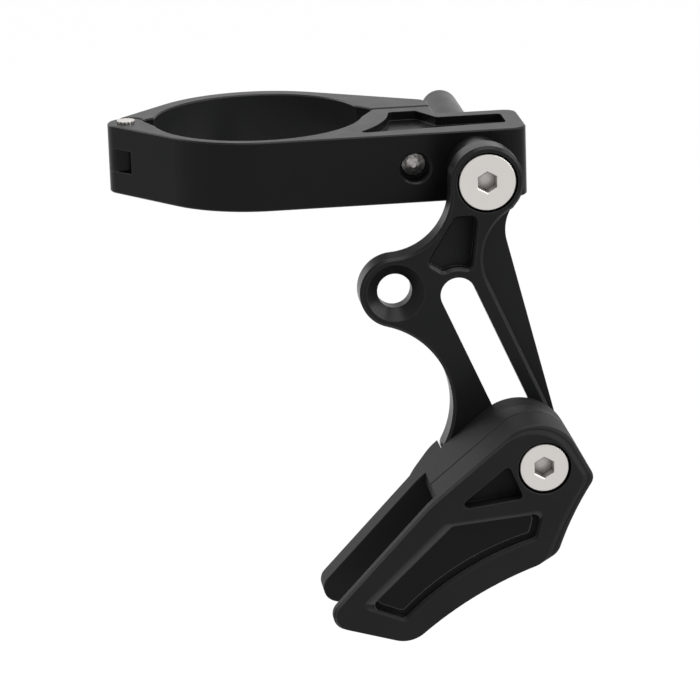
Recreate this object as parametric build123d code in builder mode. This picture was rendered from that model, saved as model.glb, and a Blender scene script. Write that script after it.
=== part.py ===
from build123d import *
from math import acos, atan2, cos, degrees, radians, sin, sqrt
import os

# Bicycle chain guide on a hinged seat tube clamp. Millimetres.
# The origin is the middle of the seat tube bore. +Z runs up the seat tube,
# +X points to the free end of the clamp and -Y points out to the chain.

# Clearances
fit_gap = 0.05       # a shaft in its hole
slide_gap = 0.05     # two flat faces that slide on each other
press_gap = 0.01     # a pressed pin in its hole
swing_gap = 0.5      # round the hinge knuckles
tongue_gap = 0.12    # above and below the hinge tongue

# Main sizes
bore_d = 34.9        # seat tube
clamp_h = 11.6
post_len = 52.4
arm_len = 46.4       # pivot axis down to the slot's lower end
chain_gap = 12.4     # between the guide's plates
guide_len = 36.7     # guide bolt to the tip
guide_h = 28.4       # guide bolt to the lowest corner

# Clamp halves
front_wall = 1.85
rear_wall = 2.75
split_y = 1.0        # middle of the slit
split_gap = 0.8
mouth_w = 1.9        # relief of the bore at the slit
mouth_h = 4.5
clamp_edge = 0.2     # chamfer on the top and bottom edges

# Hinge
hinge_reach = 4.55   # bore wall to pin axis
hinge_y = 1.5
knuckle_r = 3.1
pin_r = 1.25
pin_head_r = 1.5
pin_head_h = 1.3
pin_proud = 0.4
pin_teeth = 14
tooth_r = 0.16
window_wall = 0.3    # pin axis to the wall of the tongue's window
front_end_y = 2.6    # ends of the halves on the bore, next to the hinge
rear_end_y = 3.8

# Clamp extension
bolt_reach = 6.55    # bore wall to clamp bolt axis
ear_margin = 5.2     # clamp bolt axis to the end of the ear
ear_tip = 4.4        # thickness of the rear ear at its end
ear_edge = 0.9
post_reach = 16.55   # bore wall to post axis
end_margin = 8.7     # post axis to the free end
extension_depth = 14.2
front_corner_r = 2.6
rear_corner_r = 2.2
step_r = 1.2

# Pocket in the top of the extension
pocket_depth = 1.5
pocket_wall = 2.8
pocket_bore_wall = 4.4
pocket_rise = 2.0    # how far its front edge runs back towards the free end
pocket_r = 0.8

# Screws
m4_r = 1.95
m5_r = 2.45
hex_af = 3.0
hex_edge = 0.15
clamp_head_r = 3.5
clamp_head_h = 4.0
clamp_socket = 2.2
ear_seat = 4.0       # ear left under the clamp bolt's head
ear_hole_gap = 0.65  # the ear swings round the straight bolt
head_pocket_gap = 0.7
tip_recess = 2.6     # clamp bolt's tip below the front face
clamp_tip_r = 1.5    # width and height of its cone
clamp_tip_h = 0.7
tip_edge = 0.35
mouth_r = 2.4        # plain mouth of the clamp bolt's thread
mouth_depth = 3.6
mouth_edge = 0.3
grub_tip_gap = 0.05
grub_recess = 0.4
pivot_head_r = 4.75
pivot_head_h = 1.6
pivot_length = 15.0
guide_head_r = 4.05
guide_head_h = 1.75
low_socket = 2.6
head_edge = 0.2
head_side_gap = 0.25

# Post
post_r = 3.2
post_edge = 0.6
collar_r = 5.0
collar_len = 8.2
spigot_r = 3.4
thread_depth = 16.0

# Arm, measured from the pivot axis
arm_t = 4.4
arm_edge = 0.45
pivot_end_r = 6.0
pivot_recess = 1.8
lug_x = -15.45
lug_z = -17.5
lug_r = 5.85
lug_hole_r = 2.85
lug_sink_r = 4.75
lug_sink_depth = 1.75
upper_hollow_r = 10.3
lower_hollow_r = 14.4
lower_hollow_dir = -105.7
heel_r = 1.8
heel_dir = -28.0
slot_top_x = -5.25
slot_top_z = -18.4
slot_dir = -66.5
slot_w = 5.8
toe_wall = 2.05
edge_dir = -76.2     # right edge of the arm
neck_r = 7.0
rib_w = 2.4          # rib between the slot and the relieved web
web_r = 9.5
web_depth = 1.5
dish_depth = 1.8     # dish below the pivot
dish_wall = 1.6
dish_top = -5.7
dish_right = -1.9
dish_neck = -5.3
dish_left = -9.9
dish_low = -14.5
dish_bow_end = 60.0  # where the dish leaves its bow round the slot's top
dish_r = 0.9
dish_edge = 0.5

# Chain guide, measured from its bolt. Outline points are shares of its length and height.
bolt_above = 4.1     # slot's lower end up to the guide bolt
front_plate_t = 2.2
rear_plate_t = 4.6
outline_shares = [
    (-1.0, -0.845),      # tip
    (-0.602, -1.0),      # tail
    (0.054, -0.525),     # heel
    (0.226, -0.081),     # nose
    (0.03, 0.38),        # crown
    (-0.507, -0.18),     # brow
]
outline_radii = [2.4, 5.0, 3.0, 2.0, 7.0, 12.0]
back_crown_r = 8.5   # the crown is rounder at the back
tail_hollow = 1.3    # rise of the hollow edges over their chords
heel_hollow = 0.5
edge_bevel = 0.25
side_bevel = 1.6
bevel_depth = 0.9
spacer_share = (-0.471, -0.257)      # lower left corner of the spacer
spacer_r = 1.6
seam_edge = 0.3
bolt_recess = 2.1
window_shares = [(-0.405, -0.218), (-0.092, -0.17), (-0.156, 0.032)]
window_depth = 3.0
window_r = 0.7
panel_shares = [(-0.828, -0.75), (-0.627, -0.856), (-0.038, -0.423), (0.0, -0.243), (-0.447, -0.289)]
panel_r = 0.9
panel_hollow = 1.6
panel_sink = 0.5
panel_slope = [0.35, 0.5, 0.4, 0.7, 1.4]       # width of the sloped sides down to the panel, edge by edge
panel_margin = [1.5, 1.75, 1.6, 0.4, 1.0]      # the panel's edges, past a trench below it and to its right
trench_depth = 0.9
wing_near = 14.2     # wing behind the rear plate, beside the arm
wing_far = 20.2
wing_low = -9.5
wing_depth = 4.3
wing_ramp = 4.6      # length and height of its sloped end
wing_rise = 4.1
wing_bend = 3.0

# Nut behind the arm
nut_w = 7.8
nut_l = 8.2
nut_t = 3.0
nut_neck_l = 7.0
nut_neck_t = 2.8
nut_side_gap = 0.15
nut_edge = 0.4

# Places that follow from the sizes
bore_r = bore_d / 2
front_r = bore_r + front_wall
rear_r = bore_r + rear_wall
half_h = clamp_h / 2
window_h = clamp_h / 3
tongue_h = window_h - 2 * tongue_gap
hinge = Vector(-bore_r - hinge_reach, hinge_y)
bolt_x = bore_r + bolt_reach
ear_x = bolt_x + ear_margin
post_x = bore_r + post_reach
end_x = post_x + end_margin
front_split = split_y - split_gap / 2
rear_split = split_y + split_gap / 2
extension_back = -front_r + extension_depth
head_seat = rear_split + ear_seat
collar_back = front_r + slide_gap
arm_back = collar_back + collar_len + slide_gap
arm_front = arm_back + arm_t
guide_back = arm_front + slide_gap
gap_back = guide_back + rear_plate_t
guide_seam = gap_back + chain_gap / 2
gap_front = gap_back + chain_gap
guide_front = gap_front + front_plate_t
pivot_seat = arm_front - pivot_recess + slide_gap
guide_seat = guide_front - bolt_recess + slide_gap


def polar(angle, radius=1.0):
    """A flat vector of that length, at that angle in degrees."""
    return Vector(radius * cos(radians(angle)), radius * sin(radians(angle)))


def toward(center, other, radius):
    """The point of a circle that faces another point."""
    return center + (other - center).normalized() * radius


def round_arc(center, start, end):
    """The short arc round a centre."""
    radius = (start - center).length
    return ThreePointArc(start, toward(center, (start + end) / 2, radius), end)


def hollow_arc(start, end, rise):
    """An arc that bows to the left of its chord by the rise."""
    chord = end - start
    left = Vector(-chord.Y, chord.X).normalized()
    return ThreePointArc(start, (start + end) / 2 + left * rise, end)


def shared_normal(radius, side):
    """Outward normal of the tangent line shared by a clamp half and the knuckle."""
    angle = atan2(hinge.Y, hinge.X) + side * acos((radius - knuckle_r) / hinge.length)
    return Vector(cos(angle), sin(angle))


def inset(points, distances):
    """Moves each edge of a closed outline inwards, the edge after point i by distance i."""
    count = len(points)
    lines = []
    for i in range(count):
        step = (points[(i + 1) % count] - points[i]).normalized()
        lines.append((points[i] + Vector(-step.Y, step.X) * distances[i], step))
    moved = []
    for i in range(count):
        (a, u), (b, v) = lines[i - 1], lines[i]
        cross = u.X * v.Y - u.Y * v.X
        along = ((b.X - a.X) * v.Y - (b.Y - a.Y) * v.X) / cross
        moved.append(a + u * along)
    return moved


def facing(x, y, z=0.0):
    """A plane that looks out to the chain, with its own X and Y along the part's X and Z."""
    return Plane(origin=(x, y, z), x_dir=(1, 0, 0), z_dir=(0, -1, 0))


def low_screw(seat, head_r, head_h, shank_r, length, socket, point_r, point_h):
    """A hex socket screw whose head stands on the seat plane."""
    outward = Axis(seat.origin, seat.z_dir)
    with BuildPart() as screw:
        with BuildSketch(seat):
            Circle(head_r)
        extrude(amount=head_h)
        chamfer(screw.faces().sort_by(outward)[-1].edges(), head_edge)
        with BuildSketch(seat):
            Circle(shank_r)
        extrude(amount=-length)
        tip = screw.faces().sort_by(outward)[0]
        chamfer(tip.edges(), point_r, point_h, reference=tip)
        with BuildSketch(seat.offset(head_h)):
            RegularPolygon(hex_af / 2, 6, major_radius=False, rotation=30)
        extrude(amount=-socket, mode=Mode.SUBTRACT)
        socket_rim = screw.faces().sort_by(outward)[-1].inner_wires()[0].edges()
        chamfer(socket_rim, hex_edge)
    return screw


def save(piece, name):
    """Labels a finished piece and writes it to its own file."""
    piece.part.label = name
    export_step(piece.part, f"parts/{name}.step")


os.makedirs("parts", exist_ok=True)

# Front half of the clamp, with the extension that carries the post
flank = shared_normal(front_r, 1)
with BuildPart() as clamp_front:
    with BuildSketch(Plane.XY.offset(-half_h)) as front_plan:
        with BuildLine():
            barrel_end = hinge + flank * knuckle_r
            barrel_start = hinge + Vector(knuckle_r, 0)
            bore_left = Vector(-sqrt(bore_r**2 - front_end_y**2), -front_end_y)
            bore_right = Vector(sqrt(bore_r**2 - mouth_h**2), -mouth_h)
            Line(barrel_end, flank * front_r)
            round_arc(Vector(0, 0), flank * front_r, Vector(0, -front_r))
            Polyline(
                (0, -front_r),
                (end_x, -front_r),
                (end_x, extension_back),
                (ear_x, extension_back),
                (ear_x, front_split),
                (bore_r + mouth_w, front_split),
                bore_right,
            )
            ThreePointArc(bore_right, (0, -bore_r), bore_left)
            Line(bore_left, barrel_start)
            ThreePointArc(barrel_start, hinge + Vector(0, knuckle_r), barrel_end)
        make_face()
        fillet(front_plan.vertices().sort_by_distance((end_x, -front_r, -half_h))[0], front_corner_r)
        fillet(front_plan.vertices().sort_by_distance((end_x, extension_back, -half_h))[0], rear_corner_r)
        fillet(front_plan.vertices().sort_by_distance((ear_x, extension_back, -half_h))[0], step_r)
    extrude(amount=clamp_h)
    rims = clamp_front.faces().filter_by(Axis.Z)
    chamfer(rims.edges(), clamp_edge)
    with BuildSketch(Plane.XY.offset(half_h)) as pocket_plan:
        pocket_arc_r = bore_r + pocket_bore_wall
        pocket_front = -front_r + pocket_wall
        pocket_back = front_split - pocket_wall
        narrow_back = extension_back - pocket_wall
        tip_point = Vector(sqrt(pocket_arc_r**2 - pocket_front**2), pocket_front)
        back_point = Vector(sqrt(pocket_arc_r**2 - pocket_back**2), pocket_back)
        shoulder = ear_x - pocket_wall
        with BuildLine():
            round_arc(Vector(0, 0), tip_point, back_point)
            Polyline(
                back_point,
                (shoulder, pocket_back),
                (shoulder + pocket_wall, narrow_back),
                (end_x - pocket_wall, narrow_back),
                (end_x - pocket_wall, pocket_front + pocket_rise),
                tip_point,
            )
        make_face()
        fillet(pocket_plan.vertices(), pocket_r)
    extrude(amount=-pocket_depth, mode=Mode.SUBTRACT)
    with Locations(facing(bolt_x, -front_r)):
        CounterBoreHole(m4_r + fit_gap, mouth_r, mouth_depth)
    chamfer(clamp_front.faces().sort_by(Axis.Y)[0].inner_wires()[0].edges(), mouth_edge)
    with Locations(facing(post_x, -front_r)):
        Hole(post_r + fit_gap)
    grub_y = (extension_back - front_r) / 2
    with Locations(Plane(origin=(end_x, grub_y, 0), x_dir=(0, 1, 0), z_dir=(1, 0, 0))):
        Hole(m4_r + press_gap, depth=end_margin)
    with BuildSketch(Plane.XY.offset(-window_h / 2)):
        window_left = hinge.X - 2 * knuckle_r
        window_right = hinge.X + window_wall
        window_low = -front_r
        window_high = hinge.Y + 2 * knuckle_r
        window_mid = ((window_left + window_right) / 2, (window_low + window_high) / 2)
        with Locations(window_mid):
            Rectangle(window_right - window_left, window_high - window_low)
        with Locations(hinge):
            Circle(knuckle_r + swing_gap)
    extrude(amount=window_h, mode=Mode.SUBTRACT)
    with Locations(Plane.XY.offset(half_h) * Pos(hinge.X, hinge.Y)):
        CounterBoreHole(pin_r + press_gap, pin_head_r + press_gap, pin_head_h - pin_proud)
save(clamp_front, "clamp_front")

# Rear half, which swings on the hinge pin
flank = shared_normal(rear_r, -1)
tip_corner = Vector(ear_x, rear_split + ear_tip)
slope = atan2(tip_corner.Y, tip_corner.X) + acos(rear_r / tip_corner.length)
slope_start = Vector(cos(slope), sin(slope)) * rear_r
bore_left = Vector(-sqrt(bore_r**2 - rear_end_y**2), rear_end_y)
bore_right = Vector(sqrt(bore_r**2 - mouth_h**2), mouth_h)
with BuildPart() as clamp_rear:
    with BuildSketch(Plane.XY.offset(-half_h)) as rear_plan:
        with BuildLine():
            Line(hinge, hinge + flank * knuckle_r)
            Line(hinge + flank * knuckle_r, flank * rear_r)
            ThreePointArc(flank * rear_r, (0, rear_r), slope_start)
            Polyline(
                slope_start,
                tip_corner,
                (ear_x, rear_split),
                (bore_r + mouth_w, rear_split),
                bore_right,
            )
            ThreePointArc(bore_right, (0, bore_r), bore_left)
            Line(bore_left, hinge)
        make_face()
        chamfer(rear_plan.vertices().sort_by_distance((ear_x, tip_corner.Y, -half_h))[0], ear_edge)
        with Locations(hinge):
            Circle(knuckle_r + swing_gap, mode=Mode.SUBTRACT)
    extrude(amount=clamp_h)
    rims = clamp_rear.faces().filter_by(Axis.Z)
    chamfer(rims.edges(), clamp_edge)
    with BuildSketch(Plane.XY.offset(-tongue_h / 2)):
        with BuildLine():
            neck_end = hinge + flank * knuckle_r + Vector(flank.Y, -flank.X) * 2 * knuckle_r
            Polyline(hinge, hinge + flank * knuckle_r, neck_end, bore_left, close=True)
        make_face()
        with Locations(hinge):
            Circle(knuckle_r)
    extrude(amount=tongue_h)
    with Locations(Plane.XY.offset(half_h) * Pos(hinge.X, hinge.Y)):
        Hole(pin_r + fit_gap)
    with BuildSketch(facing(bolt_x, head_seat)):
        Circle(clamp_head_r + head_pocket_gap)
    extrude(amount=-rear_r, mode=Mode.SUBTRACT)
    with Locations(facing(bolt_x, head_seat)):
        Hole(m4_r + ear_hole_gap)
save(clamp_rear, "clamp_rear")

# Hinge pin with a serrated head
with BuildPart() as hinge_pin:
    with BuildSketch(Plane.XY.offset(-half_h + clamp_edge)):
        with Locations(hinge):
            Circle(pin_r)
    extrude(amount=clamp_h - clamp_edge)
    with BuildSketch(Plane.XY.offset(half_h + pin_proud)):
        with Locations(hinge):
            Circle(pin_head_r)
            with PolarLocations(pin_head_r, pin_teeth):
                Circle(tooth_r, mode=Mode.SUBTRACT)
    extrude(amount=-pin_head_h)
save(hinge_pin, "hinge_pin")

# Clamp bolt, which enters the rear ear and threads into the front half
bolt_seat = Plane(origin=(bolt_x, head_seat + slide_gap, 0), x_dir=(1, 0, 0), z_dir=(0, 1, 0))
bolt_length = head_seat + slide_gap + front_r - tip_recess
clamp_bolt = low_screw(
    bolt_seat,
    clamp_head_r,
    clamp_head_h,
    m4_r,
    bolt_length,
    clamp_socket,
    clamp_tip_r,
    clamp_tip_h,
)
save(clamp_bolt, "clamp_bolt")

# Post that slides through the extension and sets the chain line
with BuildPart() as post:
    with BuildSketch(facing(post_x, -collar_back)):
        Circle(collar_r)
    extrude(amount=collar_len)
    chamfer(post.edges(), clamp_edge)
    with BuildSketch(facing(post_x, -collar_back - collar_len)):
        Circle(spigot_r)
    extrude(amount=arm_t - pivot_recess - slide_gap)
    with BuildSketch(facing(post_x, -collar_back)):
        Circle(post_r)
    extrude(amount=collar_len - post_len)
    chamfer(post.faces().sort_by(Axis.Y)[-1].edges(), post_edge)
    with Locations(facing(post_x, post.faces().sort_by(Axis.Y)[0].center().Y)):
        Hole(m5_r + fit_gap, depth=thread_depth)
save(post, "post")

# Grub screw that locks the post from the free end
with BuildPart() as post_screw:
    grub_tip = post_x + post_r + fit_gap + grub_tip_gap
    with BuildSketch(Plane(origin=(grub_tip, grub_y, 0), x_dir=(0, 1, 0), z_dir=(1, 0, 0))):
        Circle(m4_r)
    extrude(amount=end_x - grub_recess - grub_tip)
    chamfer(post_screw.faces().sort_by(Axis.X)[0].edges(), tip_edge)
    with BuildSketch(Plane(origin=(end_x - grub_recess, grub_y, 0), x_dir=(0, 1, 0), z_dir=(1, 0, 0))):
        RegularPolygon(m4_r / 2, 6, major_radius=False)
    extrude(amount=-clamp_socket, mode=Mode.SUBTRACT)
save(post_screw, "post_screw")

# Arm: a milled plate whose outline is drawn by circles that touch
pivot = Vector(0, 0)
lug = Vector(lug_x, lug_z)
slot_r = slot_w / 2
slot_top = Vector(slot_top_x, slot_top_z)
slot_run = (arm_len + slot_top_z) / sin(radians(-slot_dir))
slot_end = slot_top + polar(slot_dir, slot_run)
toe_r = slot_r + toe_wall
hollow_drop = sqrt((lug_r + upper_hollow_r) ** 2 - (-pivot_end_r - upper_hollow_r - lug.X) ** 2)
upper_hollow = Vector(-pivot_end_r - upper_hollow_r, lug.Y + hollow_drop)
lower_hollow = lug + polar(lower_hollow_dir, lug_r + lower_hollow_r)
heel_center = lower_hollow + polar(heel_dir, lower_hollow_r + heel_r)
edge_out = polar(edge_dir + 90)
edge_reach = edge_out.dot(slot_end) + toe_r
neck_drop = sqrt((pivot_end_r + neck_r) ** 2 - (edge_reach + neck_r) ** 2)
neck = edge_out * (edge_reach + neck_r) + polar(edge_dir, neck_drop)
heel_span = slot_end - heel_center
sole_dir = atan2(heel_span.Y, heel_span.X) - acos(-(toe_r - heel_r) / heel_span.length)
sole_out = Vector(cos(sole_dir), sin(sole_dir))
rib_out = polar(slot_dir + 90)
rib_reach = rib_out.dot(slot_top) + slot_r + rib_w
web_drop = sqrt((pivot_end_r + web_r) ** 2 - (rib_reach + web_r) ** 2)
web_center = rib_out * (rib_reach + web_r) + polar(slot_dir, web_drop)
with BuildPart() as arm:
    with BuildSketch(facing(post_x, -arm_back)):
        with BuildLine():
            left = Vector(-pivot_end_r, 0)
            hollow_top = Vector(-pivot_end_r, upper_hollow.Y)
            lug_top = toward(lug, upper_hollow, lug_r)
            lug_low = toward(lug, lower_hollow, lug_r)
            heel_top = toward(heel_center, lower_hollow, heel_r)
            heel_low = heel_center + sole_out * heel_r
            toe_low = slot_end + sole_out * toe_r
            toe_right = slot_end + edge_out * toe_r
            neck_low = neck - edge_out * neck_r
            neck_top = toward(neck, pivot, neck_r)
            Line(left, hollow_top)
            round_arc(upper_hollow, hollow_top, lug_top)
            ThreePointArc(lug_top, lug - Vector(lug_r, 0), lug_low)
            round_arc(lower_hollow, lug_low, heel_top)
            round_arc(heel_center, heel_top, heel_low)
            Line(heel_low, toe_low)
            round_arc(slot_end, toe_low, toe_right)
            Line(toe_right, neck_low)
            round_arc(neck, neck_low, neck_top)
            ThreePointArc(neck_top, Vector(0, pivot_end_r), left)
        make_face()
    extrude(amount=arm_t)
    with BuildSketch(facing(post_x, -arm_front)):
        with BuildLine():
            web_start = toward(pivot, web_center, pivot_end_r)
            web_touch = web_center - rib_out * web_r
            web_end = web_touch + polar(slot_dir, 2 * slot_run)
            away = Vector(-web_start.Y, web_start.X).normalized() * 2 * slot_run
            round_arc(web_center, web_start, web_touch)
            Polyline(web_touch, web_end, web_end + away, web_start + away, web_start)
        make_face()
    extrude(amount=-web_depth, mode=Mode.SUBTRACT)
    chamfer(arm.faces().sort_by(Axis.Y)[0].outer_wire().edges(), arm_edge)
    with BuildSketch(facing(post_x, -arm_front)) as dish_plan:
        dish_bow = slot_r + dish_wall
        with BuildLine():
            bow_rise = dish_low - slot_top.Y
            bow_left = slot_top + Vector(-sqrt(dish_bow**2 - bow_rise**2), bow_rise)
            bow_right = slot_top + polar(dish_bow_end, dish_bow)
            round_arc(slot_top, bow_left, bow_right)
            Polyline(
                bow_right,
                (dish_right, dish_top),
                (dish_neck, dish_top),
                (dish_left, dish_low + dish_wall),
                bow_left,
            )
        make_face()
        fillet(dish_plan.vertices(), dish_r)
    extrude(amount=-dish_depth, mode=Mode.SUBTRACT)
    chamfer(arm.faces().sort_by(Axis.Y)[0].inner_wires()[0].edges(), dish_edge)
    with BuildSketch(facing(post_x, -arm_front)):
        with Locations((slot_top + slot_end) / 2):
            SlotCenterToCenter(slot_run, slot_w, rotation=slot_dir)
    extrude(amount=-arm_t, mode=Mode.SUBTRACT)
    sink_angle = 2 * atan2(lug_sink_r - lug_hole_r, lug_sink_depth)
    with Locations(facing(post_x, -arm_front) * Pos(lug.X, lug.Y)):
        CounterSinkHole(lug_hole_r, lug_sink_r, counter_sink_angle=degrees(sink_angle))
    with Locations(facing(post_x, -arm_front)):
        CounterBoreHole(spigot_r + fit_gap, pivot_head_r + head_side_gap, pivot_recess)
save(arm, "arm")

# Pivot bolt, which holds the arm on the post
pivot_plane = facing(post_x, -pivot_seat)
pivot_bolt = low_screw(
    pivot_plane,
    pivot_head_r,
    pivot_head_h,
    m5_r,
    pivot_length,
    low_socket,
    tip_edge,
    tip_edge,
)
save(pivot_bolt, "pivot_bolt")

# Chain guide: two moulded halves that meet half-way across the chain's gap
guide_at = slot_end - polar(slot_dir, bolt_above)
guide_x = post_x + guide_at.X
guide_z = guide_at.Y


def guide_points(shares):
    """Points of the guide from their shares of its length and height."""
    return [Vector(along * guide_len, up * guide_h) for along, up in shares]


def guide_face(points, radii):
    """The rounded outline of a guide plate."""
    with BuildSketch(mode=Mode.PRIVATE) as face:
        with BuildLine():
            Line(points[0], points[1])
            hollow_arc(points[1], points[2], tail_hollow)
            hollow_arc(points[2], points[3], heel_hollow)
            Polyline(*points[3:], points[0])
        make_face()
        for point, radius in zip(points, radii):
            fillet(face.vertices().sort_by_distance(point)[0], radius)
    return face.sketch


outline = guide_points(outline_shares)
back_radii = outline_radii[:4] + [back_crown_r] + outline_radii[5:]
panel_points = guide_points(panel_shares)
spacer_corner = guide_points([spacer_share])[0]


def spacer_face(radii):
    """The part of the outline that bridges the two plates."""
    with BuildSketch(mode=Mode.PRIVATE) as face:
        add(guide_face(outline, radii))
        with Locations(spacer_corner):
            Rectangle(2 * guide_len, 2 * guide_h, align=Align.MIN, mode=Mode.INTERSECT)
        fillet(face.vertices().sort_by_distance(spacer_corner)[0], spacer_r)
    return face.sketch


def panel_face(margins):
    """The outline of the front panel, each edge drawn in by its margin."""
    points = inset(panel_points, margins)
    with BuildSketch(mode=Mode.PRIVATE) as face:
        with BuildLine():
            Line(points[0], points[1])
            hollow_arc(points[1], points[2], panel_hollow)
            Polyline(*points[2:], points[0])
        make_face()
        fillet(face.vertices(), panel_r)
    return face.sketch


with BuildPart() as guide_front_half:
    with BuildSketch(facing(guide_x, -guide_seam, guide_z)):
        add(spacer_face(outline_radii))
    extrude(amount=gap_front - guide_seam)
    chamfer(guide_front_half.faces().sort_by(Axis.Y)[-1].edges(), seam_edge)
    with BuildSketch(facing(guide_x, -gap_front, guide_z)):
        add(guide_face(outline, outline_radii))
    extrude(amount=front_plate_t - bevel_depth)
    bevels = [edge_bevel, edge_bevel, side_bevel, side_bevel, edge_bevel, edge_bevel]
    with BuildSketch(facing(guide_x, -guide_front + bevel_depth, guide_z)):
        add(guide_face(outline, outline_radii))
    with BuildSketch(facing(guide_x, -guide_front, guide_z)):
        add(guide_face(inset(outline, bevels), outline_radii))
    loft(ruled=True)
    with BuildSketch(facing(guide_x, -guide_front, guide_z)) as window_plan:
        with BuildLine():
            Polyline(*guide_points(window_shares), close=True)
        make_face()
        fillet(window_plan.vertices(), window_r)
    extrude(amount=-window_depth, mode=Mode.SUBTRACT)
    with BuildSketch(facing(guide_x, -guide_front, guide_z)):
        add(panel_face([0] * len(panel_points)))
    with BuildSketch(facing(guide_x, -guide_front + panel_sink, guide_z)):
        add(panel_face(panel_slope))
    loft(ruled=True, mode=Mode.SUBTRACT)
    with BuildSketch(facing(guide_x, -guide_front + panel_sink, guide_z)):
        add(panel_face(panel_slope))
        add(panel_face(panel_margin), mode=Mode.SUBTRACT)
    extrude(amount=-trench_depth, mode=Mode.SUBTRACT)
    with Locations(facing(guide_x, -guide_front, guide_z)):
        CounterBoreHole(m5_r + fit_gap, guide_head_r + head_side_gap, bolt_recess)
save(guide_front_half, "guide_front")

with BuildPart() as guide_rear_half:
    with BuildSketch(facing(guide_x, -guide_seam, guide_z)):
        add(spacer_face(outline_radii))
    with BuildSketch(facing(guide_x, -gap_back, guide_z)):
        add(spacer_face(back_radii))
    loft(ruled=True)
    chamfer(guide_rear_half.faces().sort_by(Axis.Y)[0].edges(), seam_edge)
    with BuildSketch(facing(guide_x, -gap_back, guide_z)):
        add(guide_face(outline, back_radii))
    extrude(amount=-rear_plate_t)
    with BuildSketch(facing(guide_x, -guide_back, guide_z)):
        add(guide_face(outline, back_radii))
        Circle(wing_far, mode=Mode.INTERSECT)
        Circle(wing_near, mode=Mode.SUBTRACT)
        with Locations((0, wing_low)):
            Rectangle(wing_far, guide_h, align=(Align.MAX, Align.MIN), mode=Mode.INTERSECT)
    extrude(amount=-wing_depth)
    wing_back = guide_rear_half.faces().sort_by(Axis.Y)[-1]
    wing_end = wing_back.edges().filter_by(GeomType.CIRCLE).sort_by(SortBy.RADIUS)[-1]
    chamfer(wing_end, wing_ramp, wing_rise, reference=wing_back)
    wing_back = guide_rear_half.faces().sort_by(Axis.Y)[-1]
    wing_end = wing_back.edges().filter_by(GeomType.CIRCLE).sort_by(SortBy.RADIUS)[-1]
    fillet(wing_end, wing_bend)
    with Locations(facing(guide_x, -guide_seam, guide_z)):
        Hole(m5_r + fit_gap)
save(guide_rear_half, "guide_rear")

# Guide bolt through both halves and the arm's slot, and the nut that rides in the slot
nut_face = arm_back - slide_gap
guide_bolt_length = guide_seat - nut_face + nut_t
guide_bolt = low_screw(
    facing(guide_x, -guide_seat, guide_z),
    guide_head_r,
    guide_head_h,
    m5_r,
    guide_bolt_length,
    low_socket,
    tip_edge,
    tip_edge,
)
save(guide_bolt, "guide_bolt")

with BuildPart() as guide_nut:
    with BuildSketch(facing(guide_x, -nut_face, guide_z)):
        SlotOverall(nut_l, nut_w, rotation=slot_dir)
    extrude(amount=-nut_t)
    chamfer(guide_nut.faces().sort_by(Axis.Y)[-1].edges(), nut_edge)
    with BuildSketch(facing(guide_x, -nut_face, guide_z)):
        SlotOverall(nut_neck_l, slot_w - 2 * nut_side_gap, rotation=slot_dir)
    extrude(amount=nut_neck_t)
    with Locations(facing(guide_x, -nut_face, guide_z)):
        Hole(m5_r + fit_gap)
save(guide_nut, "guide_nut")
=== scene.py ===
import math

import bpy
from mathutils import Matrix, Vector


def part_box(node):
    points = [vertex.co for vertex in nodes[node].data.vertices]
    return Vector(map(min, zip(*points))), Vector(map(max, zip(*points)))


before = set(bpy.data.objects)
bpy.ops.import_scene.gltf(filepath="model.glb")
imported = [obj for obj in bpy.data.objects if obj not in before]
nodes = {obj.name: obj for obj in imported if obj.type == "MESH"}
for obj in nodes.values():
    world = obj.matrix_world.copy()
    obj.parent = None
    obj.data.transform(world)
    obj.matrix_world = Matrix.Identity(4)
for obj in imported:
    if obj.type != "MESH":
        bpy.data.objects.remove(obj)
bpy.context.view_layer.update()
scene = bpy.context.scene
scene.view_settings.view_transform = "Standard"

MM = 0.001
UNIT = (0.0, 1.0)
SPECULAR = 0.5                          # a shader's usual specular level
NOISE_MID = (0.3, 0.7)                  # where most of a noise's values lie
NOISE_WIDE = (0.25, 0.75)
CREASE = math.radians(28)               # edges that turn by more stay crisp
MIX_A, MIX_B, MIX_RESULT = 6, 7, 2      # colour sockets of a Mix node


# Small helpers for node trees
def put(tree, kind, **settings):
    """Adds a node and sets its own fields."""
    made = tree.nodes.new(kind)
    for name, value in settings.items():
        setattr(made, name, value)
    return made


def feed(tree, target, name, value):
    """Links a socket to an input, or sets the input to a plain value."""
    if isinstance(value, bpy.types.NodeSocket):
        tree.links.new(value, target.inputs[name])
    else:
        target.inputs[name].default_value = value


def noise(tree, coords, scale, detail=2.0, rough=0.5):
    """Cloudy noise, with its scale per metre."""
    made = put(tree, "ShaderNodeTexNoise")
    feed(tree, made, "Vector", coords)
    feed(tree, made, "Scale", scale)
    feed(tree, made, "Detail", detail)
    feed(tree, made, "Roughness", rough)
    return made.outputs["Fac"]


def remap(tree, value, given, wanted):
    """Carries one range over to another, and stops at its ends."""
    made = put(tree, "ShaderNodeMapRange")
    feed(tree, made, "From Min", given[0])
    feed(tree, made, "From Max", given[1])
    feed(tree, made, "To Min", wanted[0])
    feed(tree, made, "To Max", wanted[1])
    feed(tree, made, "Value", value)
    return made.outputs["Result"]


def maths(tree, operation, a, b):
    made = put(tree, "ShaderNodeMath", operation=operation)
    feed(tree, made, 0, a)
    feed(tree, made, 1, b)
    return made.outputs[0]


def times(tree, product, *others):
    """Multiplies two or more values."""
    for other in others:
        product = maths(tree, "MULTIPLY", product, other)
    return product


def blend(tree, factor, a, b):
    """Mixes two colours."""
    made = put(tree, "ShaderNodeMix", data_type="RGBA")
    feed(tree, made, "Factor", factor)
    feed(tree, made, MIX_A, a)
    feed(tree, made, MIX_B, b)
    return made.outputs[MIX_RESULT]


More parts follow.
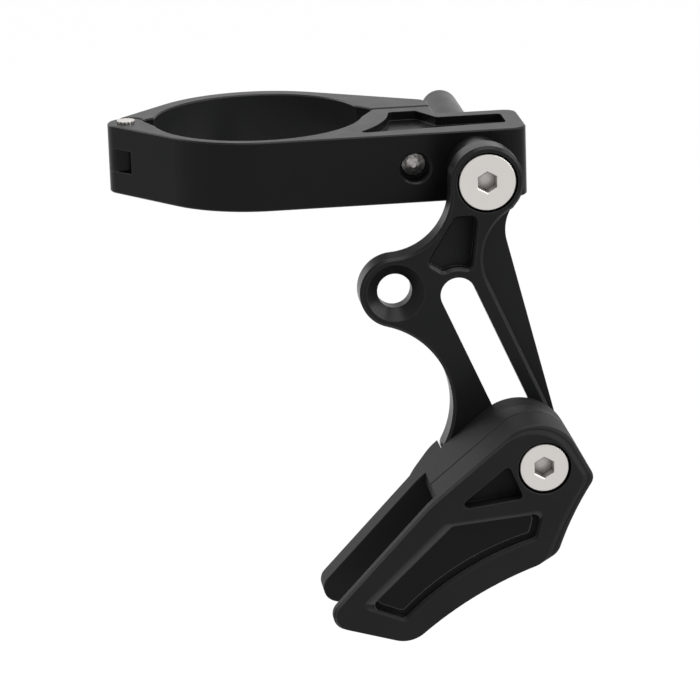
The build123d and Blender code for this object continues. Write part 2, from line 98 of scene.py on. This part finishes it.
def soft_normal(tree, radius):
    """Normals that shade an edge as if it were rounded."""
    made = put(tree, "ShaderNodeBevel", samples=6)
    feed(tree, made, "Radius", radius)
    return made.outputs["Normal"]


def bumped(tree, height, strength, distance, normal):
    made = put(tree, "ShaderNodeBump")
    feed(tree, made, "Strength", strength)
    feed(tree, made, "Distance", distance)
    feed(tree, made, "Height", height)
    feed(tree, made, "Normal", normal)
    return made.outputs["Normal"]


def edge_mask(tree, radius, start, full):
    """0 on flat faces, near 1 on edges. start and full are cosines of the turn that rounding gives."""
    geometry = put(tree, "ShaderNodeNewGeometry")
    dot = put(tree, "ShaderNodeVectorMath", operation="DOT_PRODUCT")
    feed(tree, dot, 0, soft_normal(tree, radius))
    feed(tree, dot, 1, geometry.outputs["Normal"])
    return remap(tree, dot.outputs["Value"], (start, full), UNIT)


def openness(tree, distance):
    """1 on open faces, less in sockets and corners."""
    made = put(tree, "ShaderNodeAmbientOcclusion", samples=8)
    feed(tree, made, "Distance", distance)
    return made.outputs["AO"]


def new_material(name):
    made = bpy.data.materials.new(name)
    made.use_nodes = True
    return made, made.node_tree, made.node_tree.nodes["Principled BSDF"]


def own_coords(tree, kind="Object"):
    """Places on the piece itself, or its normals, which move with it."""
    return put(tree, "ShaderNodeTexCoord").outputs[kind]


def along(tree, vector, axis):
    """One of a vector's three values."""
    split = put(tree, "ShaderNodeSeparateXYZ")
    feed(tree, split, 0, vector)
    return split.outputs[axis]


def within(tree, coords, axis, low, high):
    """1 on what lies between two places along an axis."""
    made = put(tree, "ShaderNodeMath", operation="COMPARE")
    feed(tree, made, 0, along(tree, coords, axis))
    feed(tree, made, 1, (low + high) / 2)
    feed(tree, made, 2, (high - low) / 2)
    return made.outputs[0]


def at_depth(tree, coords, depth, reach):
    """1 on what lies at one depth along Y, within a reach."""
    return within(tree, coords, "Y", depth - reach, depth + reach)


def grey(value, warm=0.0):
    return (value * (1 + warm), value, value * (1 - warm), 1.0)


# Satin black anodised aluminium
CLAMP_TONES = (0.003, 0.0045)
# The arm's tones are painted paler than the clamp's, standing in for the brighter light on its front
ARM_LIT_TONES = (0.0062, 0.0085)
COOL = (-0.03, -0.02)                   # warmth of the darker and of the paler tone
# The bore's wall is painted paler: a turned wall's tone and a painted sheen
BORE_SHEEN_TONE = 0.011
BORE_WALL = 17.7 * MM                   # a radius just outside the bore's wall
BORE_FADE = 0.1 * MM
# Paler edges: wear, and a painted highlight along them
WORN_AND_HIGHLIGHT_TONE = 0.05
WORN_AND_HIGHLIGHT_SHARE = (0.6, 1.0)
ANODISE_CLOUD = 160.0
ANODISE_GRAIN = 5200.0
ANODISE_RUB = 320.0
ANODISE_DETAIL = 3.0
ANODISE_EDGE = (0.2 * MM, 0.995, 0.86)  # reach, start and full of its edge mask
ANODISE_ROUND = 0.15 * MM
ANODISE_BUMP = (0.05, 0.02 * MM)        # strength and distance
ANODISE_ROUGH = (0.26, 0.33)
ANODISE_IOR = 1.22
# Painted shade over the right-hand side of the arm's dish, which dims its reflection
DISH_X = (-10.5 * MM, -1.4 * MM)        # the arm's dish, measured from the pivot
DISH_Z = (-15.5 * MM, -5.2 * MM)
DISH_Y = (0.3 * MM, 2.0 * MM)           # its depths behind the arm's front face
DISH_DARK = 1.6 * MM                    # width of its darkest part
DISH_POWER = 3.0                        # how steeply the shade rises towards it
DISH_SPECULAR = 0.1


def around_bore(tree, coords):
    """1 on the bore's wall, about the seat tube's axis, where the tone is paler: a turned wall's tone
    and a painted sheen of the light it catches from above.
    """
    flat = put(tree, "ShaderNodeVectorMath", operation="MULTIPLY")
    feed(tree, flat, 0, coords)
    feed(tree, flat, 1, (1.0, 1.0, 0.0))
    reach = put(tree, "ShaderNodeVectorMath", operation="LENGTH")
    feed(tree, reach, 0, flat.outputs["Vector"])
    return remap(tree, reach.outputs["Value"], (BORE_WALL, BORE_WALL - BORE_FADE), UNIT)


def painted_dish_shade(tree, coords, pivot, front):
    """Painted shade: rises to 1 at the right-hand side of the arm's dish, which lies in deep shade,
    and there dims the reflection.
    """
    left, right = [pivot[0] + x for x in DISH_X]
    low, top = [pivot[1] + z for z in DISH_Z]
    near, far = [front + y for y in DISH_Y]
    fade = remap(tree, along(tree, coords, "X"), (left, right - DISH_DARK), UNIT)
    across = within(tree, coords, "X", left, right)
    upright = within(tree, coords, "Z", low, top)
    deep = within(tree, coords, "Y", near, far)
    return times(tree, across, upright, deep, maths(tree, "POWER", fade, DISH_POWER))


def anodised(name, tones, dish=None):
    """Fine blasted grain, paler edges that are wear and a painted highlight, and a greyer bore that is
    a turned wall's tone and a painted sheen. dish is the arm's pivot and front face, where a painted
    shade dims the dish's reflection.
    """
    made, tree, shader = new_material(name)
    coords = own_coords(tree)
    cloud = noise(tree, coords, ANODISE_CLOUD, ANODISE_DETAIL)
    grain = noise(tree, coords, ANODISE_GRAIN)
    rub = noise(tree, coords, ANODISE_RUB, ANODISE_DETAIL)
    tone = blend(tree, cloud, grey(tones[0], COOL[0]), grey(tones[1], COOL[1]))
    tone = blend(tree, around_bore(tree, coords), tone, grey(BORE_SHEEN_TONE, COOL[1]))
    # Edges painted paler: wear, and a painted highlight
    wear_and_highlight = times(tree, edge_mask(tree, *ANODISE_EDGE), remap(tree, rub, NOISE_MID, WORN_AND_HIGHLIGHT_SHARE))
    feed(tree, shader, "Base Color", blend(tree, wear_and_highlight, tone, grey(WORN_AND_HIGHLIGHT_TONE)))
    feed(tree, shader, "Roughness", remap(tree, rub, NOISE_WIDE, ANODISE_ROUGH))
    feed(tree, shader, "IOR", ANODISE_IOR)
    feed(tree, shader, "Normal", bumped(tree, grain, *ANODISE_BUMP, soft_normal(tree, ANODISE_ROUND)))
    if dish:
        # Painted shade: less reflection towards the dish's right-hand side
        shade = painted_dish_shade(tree, coords, *dish)
        feed(tree, shader, "Specular IOR Level", remap(tree, shade, UNIT, (SPECULAR, DISH_SPECULAR)))
    return made


# Matte moulded nylon
NYLON_TONES = (0.0055, 0.0095)
NYLON_CLOUD = 120.0
NYLON_GRAIN = (3400.0, 3.0, 0.6)        # scale, detail and roughness
NYLON_EDGE = (0.3 * MM, 0.99, 0.85)     # reach, start and full of its edge mask
NYLON_ROUND = 0.3 * MM
NYLON_BUMP = (0.2, 0.03 * MM)           # strength and distance
NYLON_ROUGH = (0.55, 0.66)
NYLON_IOR = 1.25
# Painted highlights along the edges and along the sunk panel's rim
EDGE_HIGHLIGHT_TONE = 0.025
# Painted shade: less reflection in deep corners, from an occlusion mask
CORNER_REACH = 1.5 * MM
CORNER_OPEN = (0.3, 0.8)
CORNER_SPECULAR = (0.25, 1.0)           # share left in deep corners and in the open
PANEL_Y = -50.75 * MM                   # floor of the sunk panel in the guide's front
PANEL_SINK = 0.5 * MM                   # from the guide's front face back to that floor
PANEL_REACH = 0.1 * MM                  # what counts as the floor, either side of it
PANEL_TONE = 0.0048
PANEL_SPECULAR = 0.32
RIM_REACH = 0.4 * MM                    # what counts as the panel's rim, either side of the floor
RIM_HIGHLIGHT_TONE = 0.09
# A painted highlight on the panel's upper and left sloped sides
SHOULDER_REACH = 0.24 * MM              # what counts as its sloped sides, either side of half the sink
SHOULDER_FULL = 0.15 * MM               # how far in front of the floor their tone is full
SHOULDER_SHARE = (0.15, 1.0)            # of that tone, from the front face back to there
SHOULDER_HIGHLIGHT_TONE = 0.04
FACES_DOWN = -0.05                      # a normal's Z, below which a side looks down


def panel_shoulder_highlight(tree, coords, right_end):
    """Up to 1 on the sloped sides above and to the left of the sunk panel, which face down; there a
    paler tone paints a highlight.
    """
    downward = maths(tree, "LESS_THAN", along(tree, own_coords(tree, "Normal"), "Z"), FACES_DOWN)
    left = maths(tree, "LESS_THAN", along(tree, coords, "X"), right_end)
    slope = at_depth(tree, coords, PANEL_Y - PANEL_SINK / 2, SHOULDER_REACH)
    depths = (PANEL_Y - PANEL_SINK, PANEL_Y - SHOULDER_FULL)
    faded = remap(tree, along(tree, coords, "Y"), depths, SHOULDER_SHARE)
    return times(tree, downward, left, slope, faded)


def nylon(name, right_end):
    """A fine spark-eroded grain, darker on the sunk front panel, with painted highlights along the
    edges, the panel's rim and its upper and left sides, and painted shade in deep corners.
    """
    made, tree, shader = new_material(name)
    coords = own_coords(tree)
    cloud = noise(tree, coords, NYLON_CLOUD)
    grain = noise(tree, coords, *NYLON_GRAIN)
    panel = at_depth(tree, coords, PANEL_Y, PANEL_REACH)
    tone = blend(tree, cloud, grey(NYLON_TONES[0]), grey(NYLON_TONES[1]))
    tone = blend(tree, panel, tone, grey(PANEL_TONE))
    # Painted highlight on the panel's sloped sides
    tone = blend(tree, panel_shoulder_highlight(tree, coords, right_end), tone, grey(SHOULDER_HIGHLIGHT_TONE))
    # Painted highlight along the edges, paler still at the panel's rim
    rim = at_depth(tree, coords, PANEL_Y, RIM_REACH)
    painted_highlight = blend(tree, rim, grey(EDGE_HIGHLIGHT_TONE), grey(RIM_HIGHLIGHT_TONE))
    feed(tree, shader, "Base Color", blend(tree, edge_mask(tree, *NYLON_EDGE), tone, painted_highlight))
    feed(tree, shader, "Roughness", remap(tree, grain, NOISE_WIDE, NYLON_ROUGH))
    level = remap(tree, panel, UNIT, (SPECULAR, PANEL_SPECULAR))
    # Painted shade in deep corners and the trench
    sunk = remap(tree, openness(tree, CORNER_REACH), CORNER_OPEN, CORNER_SPECULAR)
    feed(tree, shader, "Specular IOR Level", times(tree, level, sunk))
    feed(tree, shader, "IOR", NYLON_IOR)
    feed(tree, shader, "Normal", bumped(tree, grain, *NYLON_BUMP, soft_normal(tree, NYLON_ROUND)))
    return made


# Plated steel
STEEL_CLOUD = 260.0
STEEL_VARIES = 0.02                     # its tone and its roughness, either way
PLATED_WARM = (0.035, 0.045)            # warmth of the darker and of the paler tone
SHADE_WARM = 0.03
STEEL_ROUND = 0.25 * MM
SOCKET_REACH = 2.0 * MM
SOCKET_OPEN = (0.2, 0.85)
RING_SCALE = 2600.0
RING_WOBBLE = 1.0
RING_BUMP = (0.04, 0.01 * MM)           # strength and distance
TIP_Y = (-1.0 * MM, 3.0 * MM)           # the clamp bolt's end, measured from its tip
# Painted light and shade on the bolt's end: paler where it faces up, darker where it faces down
TIP_LIT_SHADED_TONES = (0.95, 0.19)                # above and below
TIP_TURN = (0.1, -0.25)                 # a normal's Z, from the upper tone to the lower
TIP_ROUGH = 0.66
TIP_GRAIN = (900.0, 1.0)                # scale and detail
TIP_BUMP = (1.0, 0.4 * MM)              # strength and distance


def turned_steel(name, axis_point, bright=0.61, rough=0.36, shaded=0.08, tip=None):
    """Turned about an axis along Y, through a point in X and Z, with painted shade in its socket and
    hollows. tip is where a rough end lies in Y, painted paler on its upper side and darker below.
    """
    made, tree, shader = new_material(name)
    coords = own_coords(tree)
    shift = put(tree, "ShaderNodeMapping")
    feed(tree, shift, "Vector", coords)
    feed(tree, shift, "Location", (-axis_point[0], 0.0, -axis_point[1]))
    rings = put(tree, "ShaderNodeTexWave", wave_type="RINGS", rings_direction="Y")
    feed(tree, rings, "Vector", shift.outputs["Vector"])
    feed(tree, rings, "Scale", RING_SCALE)
    feed(tree, rings, "Distortion", RING_WOBBLE)
    cloud = noise(tree, coords, STEEL_CLOUD)
    darker = grey(bright * (1 - STEEL_VARIES), PLATED_WARM[0])
    paler = grey(bright * (1 + STEEL_VARIES), PLATED_WARM[1])
    # Painted shade: sockets and hollows darker where an occlusion mask finds them closed in
    depth = remap(tree, openness(tree, SOCKET_REACH), SOCKET_OPEN, UNIT)
    colour = blend(tree, depth, grey(shaded, SHADE_WARM), blend(tree, cloud, darker, paler))
    roughness = remap(tree, cloud, NOISE_MID, (rough - STEEL_VARIES, rough + STEEL_VARIES))
    normal = soft_normal(tree, STEEL_ROUND)
    if tip:
        at_tip = within(tree, coords, "Y", *tip)
        # Painted light above and painted shade below on the bolt's end
        below = remap(tree, along(tree, own_coords(tree, "Normal"), "Z"), TIP_TURN, UNIT)
        painted_tip_light = blend(tree, below, grey(TIP_LIT_SHADED_TONES[0], SHADE_WARM), grey(TIP_LIT_SHADED_TONES[1], SHADE_WARM))
        colour = blend(tree, at_tip, colour, painted_tip_light)
        roughness = maths(tree, "MAXIMUM", roughness, times(tree, at_tip, TIP_ROUGH))
        uneven = times(tree, at_tip, noise(tree, coords, *TIP_GRAIN))
        normal = bumped(tree, uneven, *TIP_BUMP, normal)
    feed(tree, shader, "Metallic", 1.0)
    feed(tree, shader, "Base Color", colour)
    feed(tree, shader, "Roughness", roughness)
    feed(tree, shader, "Normal", bumped(tree, rings.outputs["Fac"], *RING_BUMP, normal))
    return made


# Black oxide on the nut and the grub screw
OXIDE_TONES = (0.02, 0.035)
OXIDE_CLOUD = (500.0, 3.0)              # scale and detail
OXIDE_ROUND = 0.1 * MM
OXIDE_ROUGH = (0.38, 0.5)
OXIDE_METAL = 0.6


def black_oxide(name):
    made, tree, shader = new_material(name)
    cloud = noise(tree, own_coords(tree), *OXIDE_CLOUD)
    feed(tree, shader, "Metallic", OXIDE_METAL)
    feed(tree, shader, "Base Color", blend(tree, cloud, grey(OXIDE_TONES[0]), grey(OXIDE_TONES[1])))
    feed(tree, shader, "Roughness", remap(tree, cloud, NOISE_MID, OXIDE_ROUGH))
    feed(tree, shader, "Normal", soft_normal(tree, OXIDE_ROUND))
    return made


# Which piece gets which material
# The hinge pin's serrations get a deeper painted shade
PIN_BRIGHT = 0.62
PIN_SHADED = 0.1


def dress(node, material):
    data = nodes[node].data
    data.materials.clear()
    data.materials.append(material)


def middle(node):
    """X and Z of a node's middle."""
    low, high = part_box(node)
    return ((low.x + high.x) / 2, (low.z + high.z) / 2)


def front_of(node):
    """Y of a node's front, which faces -Y."""
    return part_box(node)[0].y


black = anodised("black_anodised", CLAMP_TONES)
for name in ("clamp_front", "clamp_rear", "post"):
    dress(name, black)
dress("arm", anodised("arm_anodised", ARM_LIT_TONES, (middle("pivot_bolt"), front_of("arm"))))
moulded = nylon("moulded_nylon", middle("guide_bolt")[0])
for name in ("guide_front", "guide_rear"):
    dress(name, moulded)
for name in ("pivot_bolt", "guide_bolt"):
    dress(name, turned_steel("steel_" + name, middle(name)))
bolt_tip = [front_of("clamp_bolt") + y for y in TIP_Y]
dress("clamp_bolt", turned_steel("steel_clamp_bolt", middle("clamp_bolt"), tip=bolt_tip))
pin_steel = turned_steel("steel_hinge_pin", middle("hinge_pin"), bright=PIN_BRIGHT, shaded=PIN_SHADED)
dress("hinge_pin", pin_steel)
oxide = black_oxide("black_oxide")
for name in ("guide_nut", "post_screw"):
    dress(name, oxide)

# Smooth shading with crisp creases
for part in nodes.values():
    part.data.shade_smooth()
    for edge in part.data.edges:
        edge.use_edge_sharp = False
    part.data.set_sharp_from_angle(angle=CREASE)

# Floor, world and lamps
FLOOR_Z = -0.30
FLOOR_SIZE = 12.0
PAPER_TONE = 0.86
PAPER_ROUGH = 0.9
PAPER_GLOW = 1.03
PAPER_SHARE = 0.93                      # of that glow where the paper is seen, so that shadows stay
FILL_LIGHT = 0.5
WHITE_LIGHT = 1.0
CENTER = (0.012, -0.02, -0.03)          # what the lamps point at
LAMPS = (                               # name, place, width, height, watts
    ("top_box", (0.1, -0.2, 0.85), 0.6, 0.5, 3.8),
    ("right_box", (0.64, -0.30, 0.36), 0.6, 0.6, 5.5),
    ("back_box", (-0.55, 0.5, 0.45), 0.5, 0.5, 3.5),
)


def background_rays(tree):
    """1 where the white background is seen directly, in a reflection or through a hole."""
    path = put(tree, "ShaderNodeLightPath")
    seen = maths(tree, "MAXIMUM", path.outputs["Is Camera Ray"], path.outputs["Is Transmission Ray"])
    return maths(tree, "MAXIMUM", seen, path.outputs["Is Glossy Ray"])


def mix_shaders(tree, factor, a, b):
    mixed = put(tree, "ShaderNodeMixShader")
    feed(tree, mixed, 0, factor)
    feed(tree, mixed, 1, a.outputs[0])
    feed(tree, mixed, 2, b.outputs[0])
    return mixed.outputs[0]


def softbox(name, place, width, height, power):
    light = bpy.data.lights.new(name, "AREA")
    light.shape = "RECTANGLE"
    light.size = width
    light.size_y = height
    light.energy = power
    lamp = bpy.data.objects.new(name, light)
    scene.collection.objects.link(lamp)
    lamp.location = place
    lamp.rotation_euler = (Vector(CENTER) - Vector(place)).to_track_quat("-Z", "Y").to_euler()


bpy.ops.mesh.primitive_plane_add(size=FLOOR_SIZE, location=(0.0, 0.0, FLOOR_Z))
floor = bpy.context.object
floor.name = "floor"
floor_paper, tree, shader = new_material("floor_paper")
feed(tree, shader, "Base Color", grey(PAPER_TONE))
feed(tree, shader, "Roughness", PAPER_ROUGH)
glow = put(tree, "ShaderNodeEmission")
feed(tree, glow, "Strength", PAPER_GLOW)
paper = mix_shaders(tree, times(tree, background_rays(tree), PAPER_SHARE), shader, glow)
feed(tree, tree.nodes["Material Output"], "Surface", paper)
floor.data.materials.append(floor_paper)

world = bpy.data.worlds.new("studio")
scene.world = world
world.use_nodes = True
tree = world.node_tree
fill = tree.nodes["Background"]
feed(tree, fill, "Color", grey(1.0))
feed(tree, fill, "Strength", FILL_LIGHT)
white = put(tree, "ShaderNodeBackground")
feed(tree, white, "Color", grey(1.0))
feed(tree, white, "Strength", WHITE_LIGHT)
studio = mix_shaders(tree, background_rays(tree), fill, white)
feed(tree, tree.nodes["World Output"], "Surface", studio)

for settings in LAMPS:
    softbox(*settings)

# Camera at the photo's angle
AZIMUTH = -0.1090
ELEVATION = 0.28152
ROLL = 0.03356
FOCAL_PX = 4000.0
IMAGE_PX = 700.0
SENSOR = 36.0
CLIP_START = 0.01
EYE = Vector((-57.107, -652.154, 153.906)) * MM
toward_eye = Vector((
    math.sin(AZIMUTH) * math.cos(ELEVATION),
    -math.cos(AZIMUTH) * math.cos(ELEVATION),
    math.sin(ELEVATION),
))
right = Vector((math.cos(AZIMUTH), math.sin(AZIMUTH), 0.0))
down = (-toward_eye).cross(right)
tilted_right = math.cos(ROLL) * right + math.sin(ROLL) * down
tilted_up = math.sin(ROLL) * right - math.cos(ROLL) * down
camera_data = bpy.data.cameras.new("camera")
camera_data.sensor_width = SENSOR
camera_data.lens = FOCAL_PX * SENSOR / IMAGE_PX
camera_data.clip_start = CLIP_START
camera = bpy.data.objects.new("camera", camera_data)
scene.collection.objects.link(camera)
turn = Matrix((tilted_right, tilted_up, toward_eye)).transposed()
camera.matrix_world = Matrix.Translation(EYE) @ turn.to_4x4()
scene.camera = camera
